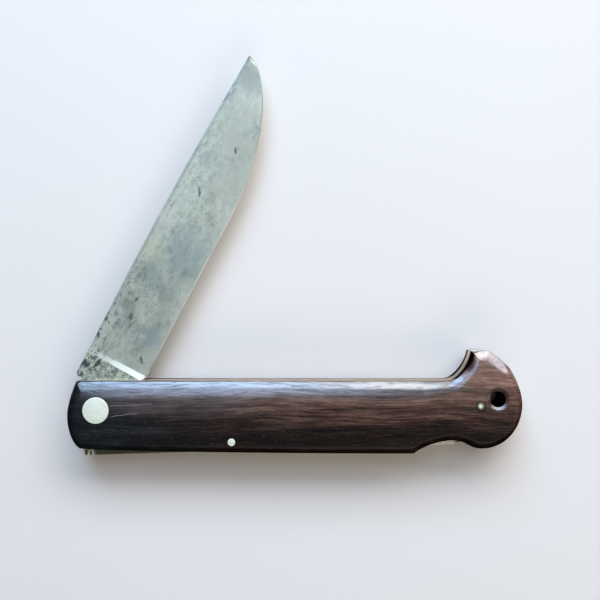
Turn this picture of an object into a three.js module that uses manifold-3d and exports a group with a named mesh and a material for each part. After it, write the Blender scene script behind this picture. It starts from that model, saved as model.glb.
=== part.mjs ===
// A lock-back folding pocket knife, half open, lying on its rear scale.
// Millimetres, +Z up. X runs along the handle towards the butt, and Y towards the side where the
// blade opens. Places are measured from the pivot's axis and, in Z, from the rear scale's face.
// The last lines move the whole knife so that its origin is under the middle of its box.

import * as THREE from 'three';
import { mergeVertices } from 'three/addons/utils/BufferGeometryUtils.js';
import Module from 'manifold-3d';

const wasm = await Module();
wasm.setup();

// Handle outline
const frontReach = 8.0;        // pivot to the round front end
const buttReach = 113.0;       // pivot to the back of the butt
const slotSide = 7.55;         // pivot to the edge that the blade opens from
const backSide = 11.75;        // pivot to the back edge
const noseBack = 2.5;          // front end to its corner on the slot side
const noseTurn = 4.0;          // foremost point to where the front end's upper curve turns
const noseFoot = 3.4;          // front end to the start of the back edge
const noseRise = 1.35;         // how far the back edge starts inside its straight stretch
const noseBelow = 1.6;         // foremost point of the front end, below the pivot
const backCurve = 18.6;        // start of the back edge to where its curve turns
const buttAbove = 1.5;         // rearmost point of the butt, above the pivot
const buttBottom = 10.4;       // pivot to the lowest point of the butt
const buttRun = 10.6;          // back of the butt to that lowest point
const edgeRound = 1.8;         // width of the rounding along the wood's outer edges
const edgeFall = 1.9;          // depth of that rounding

// Thumb notch in the back edge
const notchDepth = 3.55;
const notchLead = 10.3;        // its sharp corner to its deepest point
const notchTurn = 4.1;         // its sharp corner to where its curve turns
const notchTail = 7.9;         // its deepest point to the lowest point of the butt

// Beak that shelters the blade's point
const beakHeight = 8.15;       // above the slot side
const beakDroop = 0.25;        // how far its tip is below its top
const beakTop = 3.7;           // length of its flat top
const beakToButt = 13.3;       // its tip to the back of the butt
const beakThroat = 6.7;        // its tip to where its inner curve meets the slot side
const throatTurn = 1.7;        // its tip to where that curve turns
const beakHip = 3.6;           // back of the butt to the corner behind the beak
const beakHipDrop = 4.45;      // top of the beak to that corner
const hipSlope = 4.3;          // that corner to where its slope meets the flat top

// Thicknesses
const scaleThickness = 4.15;
const linerThickness = 1.0;
const slotWidth = 2.7;
const bladeThickness = 2.3;
const barThickness = 2.4;
const springWidth = 2.2;

// Clearances
const fitGap = 0.15;           // round a pin or head that is fixed in its hole
const runningGap = 0.15;       // round a pin that something turns on
const rideGap = 0.32;          // lock bar's tooth to the round of the tang, and spring to bar
const endGap = 0.3;            // tooth to each wall of its notch
const floorGap = 0.55;         // tooth to the floor of its notch
const tailGap = 0.4;           // lock bar's rear end to the spacer
const pointGap = 1.2;          // spacer to the blade's point in the closed knife
const seatGap = 0.3;           // spring root to its slot in the spacer
const headSink = 0.05;         // pin ends below the wood's face

// Pins, heads and the lanyard hole
const pivotRadius = 1.75;
const rosetteRadius = 3.5;
const rosetteThickness = 1.4;
const rosetteSocket = 0.8;     // depth of the blind socket that holds the pivot pin's end
const smallPinRadius = 1.0;
const pinChamfer = 0.12;
const lockPinX = 35.8;
const lockPinY = -8.35;
const buttPinBack = 11.43;     // back of the butt to the butt pin
const buttPinY = 1.15;
const lanyardBack = 6.85;      // back of the butt to the lanyard hole
const lanyardY = 2.95;
const lanyardRadius = 2.1;
const lanyardRim = 0.8;        // rounding of the hole's rim in the wood

// Blade, measured along it from the pivot, with the spine on its positive side
const bladeAngle = THREE.MathUtils.degToRad(61.2);
const pointBack = 10.1;        // back of the butt to the closed blade's point
const shoulderHeight = 10.1;   // pivot to the spine at the lock shoulder
const pointHeight = 10.7;      // pivot to the point
const spineBulge = 0.85;       // extra height of the spine midway
const heelDepth = 6.8;         // pivot to the edge at the heel
const edgeDepth = 6.1;         // pivot to the edge where the belly starts
const bellyLength = 43.0;
const bellyPower = 0.62;       // exponent of the belly's curve, 0.5 being an ellipse
const plungeStart = 11.8;
const plungeAtSpine = 0.5;     // length of the plunge beside the spine
const plungeAtEdge = 2.0;      // and beside the edge
const ricassoDepth = 5.9;      // pivot to the ricasso's underside at the plunge
const choilBack = 2.3;         // plunge to the hollow in front of the tang's round
const choilDepth = 5.4;        // pivot to that hollow
const spineChamfer = 0.9;      // width of the bevel along the spine
const chamferDepth = 0.35;     // what it takes off each side of the spine
const edgeBevel = 0.5;         // width of the cutting bevel
const behindEdge = 0.5;        // thickness where the cutting bevel starts
const edgeFlat = 0.1;          // thickness of the edge itself
const distalTaper = 0.45;      // share of the thickness lost at the point

// Tang and its lock notch
const camInset = 0.3;          // round of the tang inside the front end
const shoulder = 4.8;          // pivot to the lock shoulder
const shoulderCorner = 0.9;    // rounding of the shoulder at the spine
const toothLength = 3.9;
const toothDrop = 1.07;        // how far the tooth falls from the round into its notch

// Lock bar, in its locked place, where its outer side is parallel to X
const barInset = 0.3;          // its outer side inside the back edge
const barCorner = 0.5;
const barTail = 15.0;          // back of the butt to its rear end
const barTailThickness = 2.5;
const barTailRun = 6.5;        // length over which its outer side curves in to the rear end
const reliefDepth = 1.25;      // hollow behind the tooth, deeper than the tooth's face
const reliefLength = 10.4;
const frontArm = 7.2;          // pivot to the inner side of the front arm
const pinBoss = 2.0;           // pin to the inner side of the bar
const bossHalf = 5.0;          // half the length of that boss
const bossSlope = 3.0;         // length of the slope in front of the boss
const seatFace = 7.5;          // pivot to the face that the spring bears on
const seatEnd = 66.0;          // pivot to the rear end of that face
const seatLength = 6.0;
const seatStep = 0.7;          // fall behind that face

// Leaf spring
const springRootY = -3.5;
const springRoot = 1.0;        // thickness at its root
const springTip = 0.8;         // thickness at its tip
const springSeat = 4.0;        // length held in the spacer
const springBow = 0.4;         // how far it bows away from the bar

// Butt spacer
const spacerNose = 2.7;        // how far it reaches over the lock bar's rear end
const noseUnder = -5.3;        // underside of that nose
const noseOver = 1.0;          // its upper side

// Fineness of the curves
const curveSteps = 6;
const roundSteps = 4;
const circleSteps = 48;
const bladeSteps = 26;
const curveFullness = 0.5523;  // pull of a cubic's handles that makes a quarter circle

// Heights and lines that follow from the sizes above
const linerBottom = scaleThickness;
const slotBottom = linerBottom + linerThickness;
const slotTop = slotBottom + slotWidth;
const slotMiddle = slotBottom + slotWidth / 2;
const totalThickness = 2 * (scaleThickness + linerThickness) + slotWidth;
const buttPinX = buttReach - buttPinBack;
const lanyardX = buttReach - lanyardBack;
const bladeReach = buttReach - pointBack;
const camRadius = frontReach - camInset;
const toothFront = -(shoulder - endGap);
const toothBack = toothFront + toothLength;
const toothFace = camRadius + rideGap - toothDrop;
const notchFloor = toothFace - floorGap;
const notchBack = shoulder - toothLength - 2 * endGap;
const barLift = Math.asin(toothDrop / (lockPinX - toothBack));
const barOuter = backSide - barInset;
const barEnd = buttReach - barTail;
const springFront = seatEnd - seatLength + seatStep;
const seatAtRest = -seatFace + (springFront - lockPinX) * Math.sin(barLift);

const at = (x, y) => new THREE.Vector2(x, y);

// Adds a round stretch to a path: it leaves towards a corner and arrives from that corner.
function roundTo(path, corner, end) {
  const start = path.currentPoint.clone();
  const leave = start.lerp(corner, curveFullness);
  const arrive = end.clone().lerp(corner, curveFullness);
  path.bezierCurveTo(leave.x, leave.y, arrive.x, arrive.y, end.x, end.y);
}

// Adds a stretch shaped like an S that leaves and arrives along X.
function easeTo(path, end) {
  const start = path.currentPoint;
  const handle = (end.x - start.x) / 2;
  path.bezierCurveTo(start.x + handle, start.y, end.x - handle, end.y, end.x, end.y);
}

// Four quarter arcs, clockwise as a hole's outline runs.
function circlePath(x, y, radius) {
  const circle = new THREE.Path();
  for (let quarter = 4; quarter > 0; quarter -= 1) {
    circle.absarc(x, y, radius, quarter * Math.PI / 2, (quarter - 1) * Math.PI / 2, true);
  }
  return circle;
}

// Outline that the scales, the liners and the butt spacer share.
function handleShape() {
  const buttLow = at(buttReach - buttRun, -buttBottom);
  const notchDeep = at(buttLow.x - notchTail, notchDepth - backSide);
  const notchCorner = at(notchDeep.x - notchLead, -backSide);
  const hip = at(buttReach - beakHip, slotSide + beakHeight - beakHipDrop);
  const tip = at(buttReach - beakToButt, slotSide + beakHeight - beakDroop);
  const foot = at(noseFoot - frontReach, noseRise - backSide);
  const top = at(noseBack - frontReach, slotSide);
  const front = at(-frontReach, -noseBelow);

  const outline = new THREE.Shape();
  outline.moveTo(top.x, top.y);
  roundTo(outline, at(-frontReach, front.y + noseTurn), front);
  roundTo(outline, at(-frontReach, foot.y + noseFoot / 2), foot);
  roundTo(outline, at(foot.x + backCurve, -backSide), notchCorner);
  roundTo(outline, at(notchCorner.x + notchTurn, notchDeep.y), notchDeep);
  easeTo(outline, buttLow);
  roundTo(outline, at(buttReach, buttLow.y), at(buttReach, buttAbove));
  roundTo(outline, at(buttReach, (hip.y + buttAbove) / 2), hip);
  roundTo(outline, at(hip.x - hipSlope, tip.y + beakDroop), at(tip.x + beakTop, tip.y + beakDroop));
  outline.lineTo(tip.x, tip.y);
  roundTo(outline, at(tip.x - throatTurn, slotSide), at(tip.x - beakThroat, slotSide));
  outline.closePath();
  return outline;
}

function extrude(shape, depth, bottom) {
  const geometry = new THREE.ExtrudeGeometry(shape, { depth, bevelEnabled: false, curveSegments: curveSteps });
  return geometry.translate(0, 0, bottom);
}

function cylinder(x, y, radius, bottom, top) {
  const geometry = new THREE.CylinderGeometry(radius, radius, top - bottom, circleSteps);
  return geometry.rotateX(Math.PI / 2).translate(x, y, (bottom + top) / 2);
}

// A solid for cutting and joining, from a closed geometry.
function solidOf(geometry) {
  geometry.deleteAttribute('normal');
  geometry.deleteAttribute('uv');
  const merged = mergeVertices(geometry);
  const vertProperties = new Float32Array(merged.attributes.position.array);
  const triVerts = new Uint32Array(merged.index.array);
  return new wasm.Manifold(new wasm.Mesh({ numProp: 3, vertProperties, triVerts }));
}

function geometryOf(solid) {
  const { vertProperties, triVerts } = solid.getMesh();
  const geometry = new THREE.BufferGeometry();
  geometry.setAttribute('position', new THREE.BufferAttribute(vertProperties, 3));
  geometry.setIndex(new THREE.BufferAttribute(triVerts, 1));
  geometry.computeVertexNormals();
  return geometry;
}

function cutAll(geometry, cutters) {
  const start = solidOf(geometry);
  return cutters.reduce((solid, cutter) => solid.subtract(solidOf(cutter)), start);
}

function pinHoles(bottom, top) {
  return [
    cylinder(lockPinX, lockPinY, smallPinRadius + fitGap, bottom, top),
    cylinder(buttPinX, buttPinY, smallPinRadius + fitGap, bottom, top),
    cylinder(0, 0, pivotRadius + fitGap, bottom, top),
  ];
}

// Lanyard hole through a block of half this height about Z 0, flaring at both faces.
function flaredHole(halfHeight) {
  const profile = [at(0, -2 * halfHeight), at(lanyardRadius + lanyardRim, -2 * halfHeight)];
  for (let step = 0; step <= roundSteps; step += 1) {
    const angle = step / roundSteps * Math.PI / 2;
    const radius = lanyardRadius + lanyardRim * (1 - Math.sin(angle));
    profile.push(at(radius, -halfHeight + lanyardRim * (1 - Math.cos(angle))));
  }
  const upper = profile.map(({ x, y }) => at(x, -y)).reverse();
  const geometry = new THREE.LatheGeometry([...profile, ...upper], circleSteps);
  return geometry.rotateX(Math.PI / 2).translate(lanyardX, lanyardY, 0);
}

// Both scales are halves of one block that is rounded along both faces.
function scaleGeometry(side) {
  const straight = 2 * (scaleThickness - edgeFall);
  const block = new THREE.ExtrudeGeometry(handleShape(), {
    depth: straight,
    bevelThickness: edgeFall,
    bevelSize: edgeRound,
    bevelOffset: -edgeRound,
    bevelSegments: roundSteps,
    curveSegments: curveSteps,
  });
  block.translate(0, 0, -straight / 2);
  const recess = cylinder(0, 0, rosetteRadius + fitGap, scaleThickness - rosetteThickness, 2 * scaleThickness);
  const faceRecess = side > 0 ? recess : recess.rotateX(Math.PI);
  const otherHalf = new THREE.BoxGeometry(4 * buttReach, 4 * buttReach, 2 * scaleThickness);
  otherHalf.translate(0, 0, -side * scaleThickness);
  const holes = pinHoles(-2 * scaleThickness, 2 * scaleThickness);
  return geometryOf(cutAll(block, [otherHalf, faceRecess, flaredHole(scaleThickness), ...holes]));
}

function linerGeometry() {
  const plate = extrude(handleShape(), linerThickness, 0);
  const lanyard = cylinder(lanyardX, lanyardY, lanyardRadius, -linerThickness, 2 * linerThickness);
  return geometryOf(cutAll(plate, [lanyard, ...pinHoles(-linerThickness, 2 * linerThickness)]));
}

// Area of the butt spacer before the handle's outline trims it, clear of the closed blade.
function spacerShape() {
  const far = 2 * buttReach;
  const front = barEnd + tailGap;
  const nose = front - spacerNose;
  const backWall = bladeReach + pointGap;
  const slotHalf = springRoot / 2 + seatGap;
  const area = new THREE.Shape();
  area.moveTo(front, -far);
  area.lineTo(far, -far);
  area.lineTo(far, far);
  area.lineTo(backWall, far);
  area.lineTo(backWall, pointHeight);
  roundTo(area, at(backWall, buttAbove), at(nose, noseOver));
  area.lineTo(nose, springRootY + slotHalf);
  area.lineTo(nose + springSeat + seatGap, springRootY + slotHalf);
  area.lineTo(nose + springSeat + seatGap, springRootY - slotHalf);
  area.lineTo(nose, springRootY - slotHalf);
  area.lineTo(nose, noseUnder);
  area.lineTo(front, noseUnder);
  area.closePath();
  return area;
}

function spacerGeometry() {
  const plate = solidOf(extrude(handleShape(), slotWidth, 0));
  const butt = plate.intersect(solidOf(extrude(spacerShape(), slotWidth, 0)));
  const lanyard = cylinder(lanyardX, lanyardY, lanyardRadius, -slotWidth, 2 * slotWidth);
  const pin = cylinder(buttPinX, buttPinY, smallPinRadius + fitGap, -slotWidth, 2 * slotWidth);
  return geometryOf(butt.subtract(solidOf(lanyard)).subtract(solidOf(pin)));
}

// Leaf spring, tapering from its root in the spacer to its tip on the lock bar.
function springGeometry() {
  const rootEnd = barEnd + tailGap - spacerNose + springSeat;
  const nose = rootEnd - springSeat;
  const under = seatAtRest + rideGap;
  const halfway = (nose + springFront) / 2;
  const leaf = new THREE.Shape();
  leaf.moveTo(rootEnd, springRootY + springRoot / 2);
  leaf.lineTo(nose, springRootY + springRoot / 2);
  leaf.quadraticCurveTo(halfway, (springRootY + under + springRoot) / 2 + springBow, springFront, under + springTip);
  leaf.lineTo(springFront, under);
  leaf.quadraticCurveTo(halfway, (springRootY + under) / 2 + springBow, nose, springRootY - springRoot / 2);
  leaf.lineTo(rootEnd, springRootY - springRoot / 2);
  leaf.closePath();
  return extrude(leaf, springWidth, -springWidth / 2);
}

// Lock bar round its pin, in its locked place: tooth, relief, front arm, boss, spring seat and tail.
function barGeometry() {
  const relief = -(toothFace + reliefDepth);
  const bossInner = lockPinY + pinBoss;
  const tailInner = barTailThickness - barOuter;
  const tailRound = barTailThickness / 2;
  const bar = new THREE.Shape();
  bar.moveTo(toothFront, -toothFace);
  bar.lineTo(toothFront, barCorner - barOuter);
  roundTo(bar, at(toothFront, -barOuter), at(toothFront + barCorner, -barOuter));
  bar.lineTo(barEnd - barTailRun, -barOuter);
  roundTo(bar, at(barEnd, -barOuter), at(barEnd, tailRound - barOuter));
  roundTo(bar, at(barEnd, tailInner), at(barEnd - tailRound, tailInner));
  bar.lineTo(seatEnd + seatStep, -seatFace - seatStep);
  bar.lineTo(seatEnd, -seatFace);
  bar.lineTo(seatEnd - seatLength, -seatFace);
  bar.lineTo(lockPinX + bossHalf, bossInner);
  bar.lineTo(lockPinX - bossHalf, bossInner);
  bar.lineTo(lockPinX - bossHalf - bossSlope, -frontArm);
  bar.lineTo(toothBack + reliefLength + reliefDepth, -frontArm);
  bar.lineTo(toothBack + reliefLength, relief);
  bar.lineTo(toothBack, relief);
  bar.lineTo(toothBack, -toothFace);
  bar.closePath();
  bar.holes.push(circlePath(lockPinX, lockPinY, smallPinRadius + runningGap));
  return extrude(bar, barThickness, -barThickness / 2).translate(-lockPinX, -lockPinY, 0);
}

function spineAt(x) {
  const along = (x - shoulder) / (bladeReach - shoulder);
  return THREE.MathUtils.lerp(shoulderHeight, pointHeight, along) + spineBulge * Math.sin(Math.PI * along);
}

// Underside of the blade: a rounded heel, a nearly straight edge and a belly that rises to the point.
function edgeAt(x) {
  const bellyStart = bladeReach - bellyLength;
  if (x > bellyStart) {
    const along = (x - bellyStart) / bellyLength;
    return pointHeight - (pointHeight + edgeDepth) * (1 - along ** 2) ** bellyPower;
  }
  const heelEnd = plungeStart + plungeAtEdge;
  if (x > heelEnd) {
    return THREE.MathUtils.mapLinear(x, heelEnd, bellyStart, -heelDepth, -edgeDepth);
  }
  const alongHeel = Math.max(0, (x - plungeStart) / plungeAtEdge);
  return -ricassoDepth - (heelDepth - ricassoDepth) * Math.sin(alongHeel * Math.PI / 2);
}

// Eight points round the ground blade. The plunge makes xSpine and xEdge differ.
function bladeRing(xSpine, xEdge, ground) {
  const spine = spineAt(xSpine);
  const edge = edgeAt(xEdge);
  const width = spineAt(xEdge) - edge;
  const along = Math.max(0, (xEdge - plungeStart) / (bladeReach - plungeStart));
  const half = bladeThickness / 2 * (1 - distalTaper * along ** 2);
  const narrow = Math.min(1, width / (2 * (spineChamfer + edgeBevel)));
  const flank = THREE.MathUtils.lerp(half, behindEdge / 2 * narrow, ground);
  const crest = THREE.MathUtils.lerp(half, half - chamferDepth, ground);
  const lip = THREE.MathUtils.lerp(half, edgeFlat / 2, ground);
  const side = [
    [xSpine, spine, crest],
    [xSpine, spine - spineChamfer * narrow, half],
    [xEdge, edge + edgeBevel * narrow, flank],
    [xEdge, edge, lip],
  ];
  const mirrored = side.map(([x, y, z]) => [x, y, -z]).reverse();
  return [...side, ...mirrored];
}

// Skin over rings of points, closed by a flat face at the first ring and by a point after the last.
function loft(rings, point) {
  const count = rings[0].length;
  const index = [];
  for (let ring = 0; ring < rings.length - 1; ring += 1) {
    for (let i = 0; i < count; i += 1) {
      const next = (i + 1) % count;
      const here = ring * count;
      const there = here + count;
      index.push(here + i, there + next, there + i);
      index.push(here + i, here + next, there + next);
    }
  }
  const last = (rings.length - 1) * count;
  const pointIndex = rings.length * count;
  for (let i = 0; i < count; i += 1) {
    index.push(last + i, last + (i + 1) % count, pointIndex);
  }
  for (let i = 1; i < count - 1; i += 1) {
    index.push(0, i + 1, i);
  }
  const geometry = new THREE.BufferGeometry();
  geometry.setAttribute('position', new THREE.Float32BufferAttribute([...rings.flat(2), ...point], 3));
  geometry.setIndex(index);
  return geometry;
}

function groundBlade() {
  const inside = plungeStart - plungeAtSpine;
  const rings = [
    bladeRing(inside, inside, 0),
    bladeRing(plungeStart, plungeStart, 0),
    bladeRing(plungeStart + plungeAtSpine, plungeStart + plungeAtEdge, 1),
  ];
  const first = plungeStart + 2 * plungeAtEdge;
  for (let step = 0; step < bladeSteps; step += 1) {
    const x = THREE.MathUtils.lerp(first, bladeReach, Math.sin(step / bladeSteps * Math.PI / 2));
    rings.push(bladeRing(x, x, 1));
  }
  return loft(rings, [bladeReach, pointHeight, 0]);
}

// Tang at full thickness: lock shoulder, lock notch, round for the tooth to ride on, and ricasso.
function tangShape() {
  const tang = new THREE.Shape();
  tang.moveTo(plungeStart, edgeAt(plungeStart));
  tang.lineTo(plungeStart, spineAt(plungeStart));
  tang.lineTo(shoulder + shoulderCorner, spineAt(shoulder + shoulderCorner));
  roundTo(tang, at(shoulder, shoulderHeight), at(shoulder, shoulderHeight - shoulderCorner));
  tang.lineTo(shoulder, notchFloor);
  tang.lineTo(notchBack, notchFloor);
  tang.lineTo(notchBack, Math.sqrt(camRadius ** 2 - notchBack ** 2));
  tang.absarc(0, 0, camRadius, Math.PI / 2, 3 * Math.PI / 2, false);
  roundTo(tang, at(shoulder, -camRadius), at(plungeStart - choilBack, -choilDepth));
  tang.lineTo(plungeStart, edgeAt(plungeStart));
  tang.holes.push(circlePath(0, 0, pivotRadius + runningGap));
  return tang;
}

function bladeGeometry() {
  const tang = solidOf(extrude(tangShape(), bladeThickness, -bladeThickness / 2));
  return geometryOf(tang.add(solidOf(groundBlade())));
}

// A turned piece whose profile of radius and height starts and ends on its axis.
function turned(profile) {
  const geometry = new THREE.LatheGeometry(profile.map(([radius, height]) => at(radius, height)), circleSteps);
  return geometry.rotateX(Math.PI / 2);
}

function pinGeometry(radius, length) {
  return turned([
    [0, 0],
    [radius - pinChamfer, 0],
    [radius, pinChamfer],
    [radius, length - pinChamfer],
    [radius - pinChamfer, length],
    [0, length],
  ]);
}

// Head of the pivot: a disc with a blind socket underneath.
function rosetteGeometry() {
  const inner = pivotRadius + fitGap;
  return turned([
    [0, rosetteSocket],
    [inner, rosetteSocket],
    [inner, 0],
    [rosetteRadius, 0],
    [rosetteRadius, rosetteThickness - headSink - pinChamfer],
    [rosetteRadius - pinChamfer, rosetteThickness - headSink],
    [0, rosetteThickness - headSink],
  ]);
}

const wood = (color) => new THREE.MeshStandardMaterial({ color, roughness: 0.35, metalness: 0 });
const metal = (color, roughness) => new THREE.MeshStandardMaterial({ color, roughness, metalness: 1 });

function piece(name, geometry, material, x, y, z) {
  const mesh = new THREE.Mesh(geometry, material);
  mesh.name = name;
  mesh.position.set(x, y, z);
  return mesh;
}

function handlePieces() {
  const rosewood = wood(0x4a2c24);
  const brass = metal(0xb59a5c, 0.45);
  return [
    piece('front_scale', scaleGeometry(1), rosewood, 0, 0, totalThickness - scaleThickness),
    piece('rear_scale', scaleGeometry(-1), rosewood, 0, 0, scaleThickness),
    piece('front_liner', linerGeometry(), brass, 0, 0, slotTop),
    piece('rear_liner', linerGeometry(), brass, 0, 0, linerBottom),
    piece('butt_spacer', spacerGeometry(), metal(0x8a8c84, 0.5), 0, 0, slotBottom),
    piece('lock_spring', springGeometry(), metal(0x6f7478, 0.4), 0, 0, slotMiddle),
  ];
}

function pinPieces() {
  const nickelSilver = metal(0xdfe3cc, 0.35);
  const fullLength = totalThickness - 2 * headSink;
  const socketTop = rosetteThickness - rosetteSocket;
  const pivotLength = totalThickness - 2 * (socketTop + fitGap);
  const front = piece('front_pivot_rosette', rosetteGeometry(), nickelSilver, 0, 0, totalThickness - rosetteThickness);
  const rear = piece('rear_pivot_rosette', rosetteGeometry(), nickelSilver, 0, 0, rosetteThickness);
  rear.rotation.x = Math.PI;
  return [
    front,
    rear,
    piece('pivot_pin', pinGeometry(pivotRadius, pivotLength), metal(0x9a9c98, 0.4), 0, 0, socketTop + fitGap),
    piece('lock_bar_pin', pinGeometry(smallPinRadius, fullLength), nickelSilver, lockPinX, lockPinY, headSink),
    piece('butt_pin', pinGeometry(smallPinRadius, fullLength), metal(0xb7a562, 0.4), buttPinX, buttPinY, headSink),
  ];
}

// The blade and the lock bar each turn on their pin. The bar is lifted: it rides on the round tang.
function movingPieces() {
  const blade = piece('blade', bladeGeometry(), metal(0x98a8a0, 0.4), 0, 0, slotMiddle);
  blade.rotation.z = bladeAngle;
  const bar = piece('lock_bar', barGeometry(), metal(0x8f9490, 0.45), lockPinX, lockPinY, slotMiddle);
  bar.rotation.z = barLift;
  return [blade, bar];
}

const knife = new THREE.Group();
knife.add(...handlePieces(), ...pinPieces(), ...movingPieces());

const box = new THREE.Box3().setFromObject(knife, true);
const middle = box.getCenter(new THREE.Vector3());
knife.position.set(-middle.x, -middle.y, -box.min.z);

export default knife;
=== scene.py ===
import math

import bmesh
import bpy
from mathutils import Matrix, Vector
from mathutils.geometry import interpolate_bezier
from mathutils.kdtree import KDTree


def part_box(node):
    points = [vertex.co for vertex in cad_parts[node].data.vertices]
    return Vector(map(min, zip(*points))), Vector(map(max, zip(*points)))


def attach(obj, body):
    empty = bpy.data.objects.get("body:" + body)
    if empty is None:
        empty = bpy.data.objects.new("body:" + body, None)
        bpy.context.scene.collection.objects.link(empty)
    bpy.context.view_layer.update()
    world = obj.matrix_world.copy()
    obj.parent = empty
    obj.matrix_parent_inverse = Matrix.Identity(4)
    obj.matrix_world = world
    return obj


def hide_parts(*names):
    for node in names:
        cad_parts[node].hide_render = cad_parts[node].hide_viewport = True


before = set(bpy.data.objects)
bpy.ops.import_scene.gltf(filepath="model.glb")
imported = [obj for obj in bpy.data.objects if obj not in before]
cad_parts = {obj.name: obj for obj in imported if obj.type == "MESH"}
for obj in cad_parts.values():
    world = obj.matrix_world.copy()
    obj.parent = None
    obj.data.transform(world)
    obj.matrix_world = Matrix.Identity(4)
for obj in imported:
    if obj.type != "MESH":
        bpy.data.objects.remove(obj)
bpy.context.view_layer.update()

# Rear scale and front scale
# Two slabs of dark rosewood, sawn and filed to one outline, rounded along their outer faces and
# polished by the hand that carried them. Each is pinned and glued outside its liner.

MM = 0.001
pin_low, pin_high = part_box("pivot_pin")
PIVOT = (pin_low + pin_high) / 2
CURVE_FULLNESS = 0.5523
CURVE_STEPS = 20


def levels(node):
    """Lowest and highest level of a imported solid, in millimetres."""
    low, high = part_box(node)
    return low.z / MM, high.z / MM


def bend(path, corner, end):
    """Adds a round stretch that leaves towards a corner and arrives from it."""
    start, corner, end = path[-1], Vector(corner), Vector(end)
    leave = start.lerp(corner, CURVE_FULLNESS)
    arrive = end.lerp(corner, CURVE_FULLNESS)
    path.extend(interpolate_bezier(start, leave, arrive, end, CURVE_STEPS)[1:])


def ease(path, end):
    """Adds a stretch shaped like an S that leaves and arrives along the handle."""
    start, end = path[-1], Vector(end)
    half = Vector(((end.x - start.x) / 2, 0))
    path.extend(interpolate_bezier(start, start + half, end - half, end, CURVE_STEPS)[1:])


def handle_outline():
    """Outline that scales, liners and spacer share, in millimetres from the pivot."""
    path = [Vector((-5.5, 7.55))]
    bend(path, (-8.0, 2.4), (-8.0, -1.6))
    bend(path, (-8.0, -8.7), (-4.6, -10.4))
    bend(path, (14.0, -11.75), (84.2, -11.75))
    bend(path, (88.3, -8.2), (94.5, -8.2))
    ease(path, (102.4, -10.4))
    bend(path, (113.0, -10.4), (113.0, 1.5))
    bend(path, (113.0, 6.375), (109.4, 11.25))
    bend(path, (105.1, 15.7), (103.4, 15.7))
    path.append(Vector((99.7, 15.45)))
    bend(path, (98.0, 7.55), (93.0, 7.55))
    return path


def outline_slab(outline, bottom, top):
    """A closed slab of a flat outline, upright between two levels."""
    mesh = bmesh.new()
    rim = [mesh.verts.new((point.x, point.y, bottom)) for point in outline]
    base = mesh.faces.new(rim)
    grown = bmesh.ops.extrude_face_region(mesh, geom=[base])["geom"]
    lifted = [item for item in grown if isinstance(item, bmesh.types.BMVert)]
    bmesh.ops.translate(mesh, verts=lifted, vec=(0, 0, top - bottom))
    bmesh.ops.recalc_face_normals(mesh, faces=mesh.faces)
    return mesh


def piece_from(mesh, name, material):
    """An object from a bmesh that is drawn in millimetres from the pivot."""
    data = bpy.data.meshes.new(name)
    mesh.to_mesh(data)
    mesh.free()
    data.materials.append(material)
    obj = bpy.data.objects.new(name, data)
    bpy.context.scene.collection.objects.link(obj)
    return obj


def drilled(obj, cutters, operation="DIFFERENCE"):
    """Cuts closed bmesh bodies out of an object, or joins them to it."""
    for cutter in cutters:
        tool = piece_from(cutter, "cutter", obj.data.materials[0])
        boolean = obj.modifiers.new("cut", "BOOLEAN")
        boolean.object = tool
        boolean.operation = operation
        boolean.solver = "EXACT"
        evaluated = obj.evaluated_get(bpy.context.evaluated_depsgraph_get())
        cut = bpy.data.meshes.new_from_object(evaluated)
        obj.modifiers.clear()
        obj.data = cut
        bpy.data.objects.remove(tool)
    return obj


def finished(obj, angle, turn=0.0, level=0.0):
    """Puts an object's mesh in its place in metres and shades it, sharp above an angle."""
    place = Matrix.Translation((PIVOT.x, PIVOT.y, level * MM))
    obj.data.transform(place @ Matrix.Rotation(turn, 4, "Z") @ Matrix.Scale(MM, 4))
    obj.data.shade_smooth()
    obj.data.set_sharp_from_angle(angle=math.radians(angle))
    return obj


def rod(x, y, radius, bottom, top, segments=64):
    """An upright cylinder between two levels."""
    mesh = bmesh.new()
    bmesh.ops.create_cone(mesh, cap_ends=True, segments=segments, radius1=radius, radius2=radius,
                          depth=top - bottom, matrix=Matrix.Translation((x, y, (bottom + top) / 2)))
    return mesh


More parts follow.
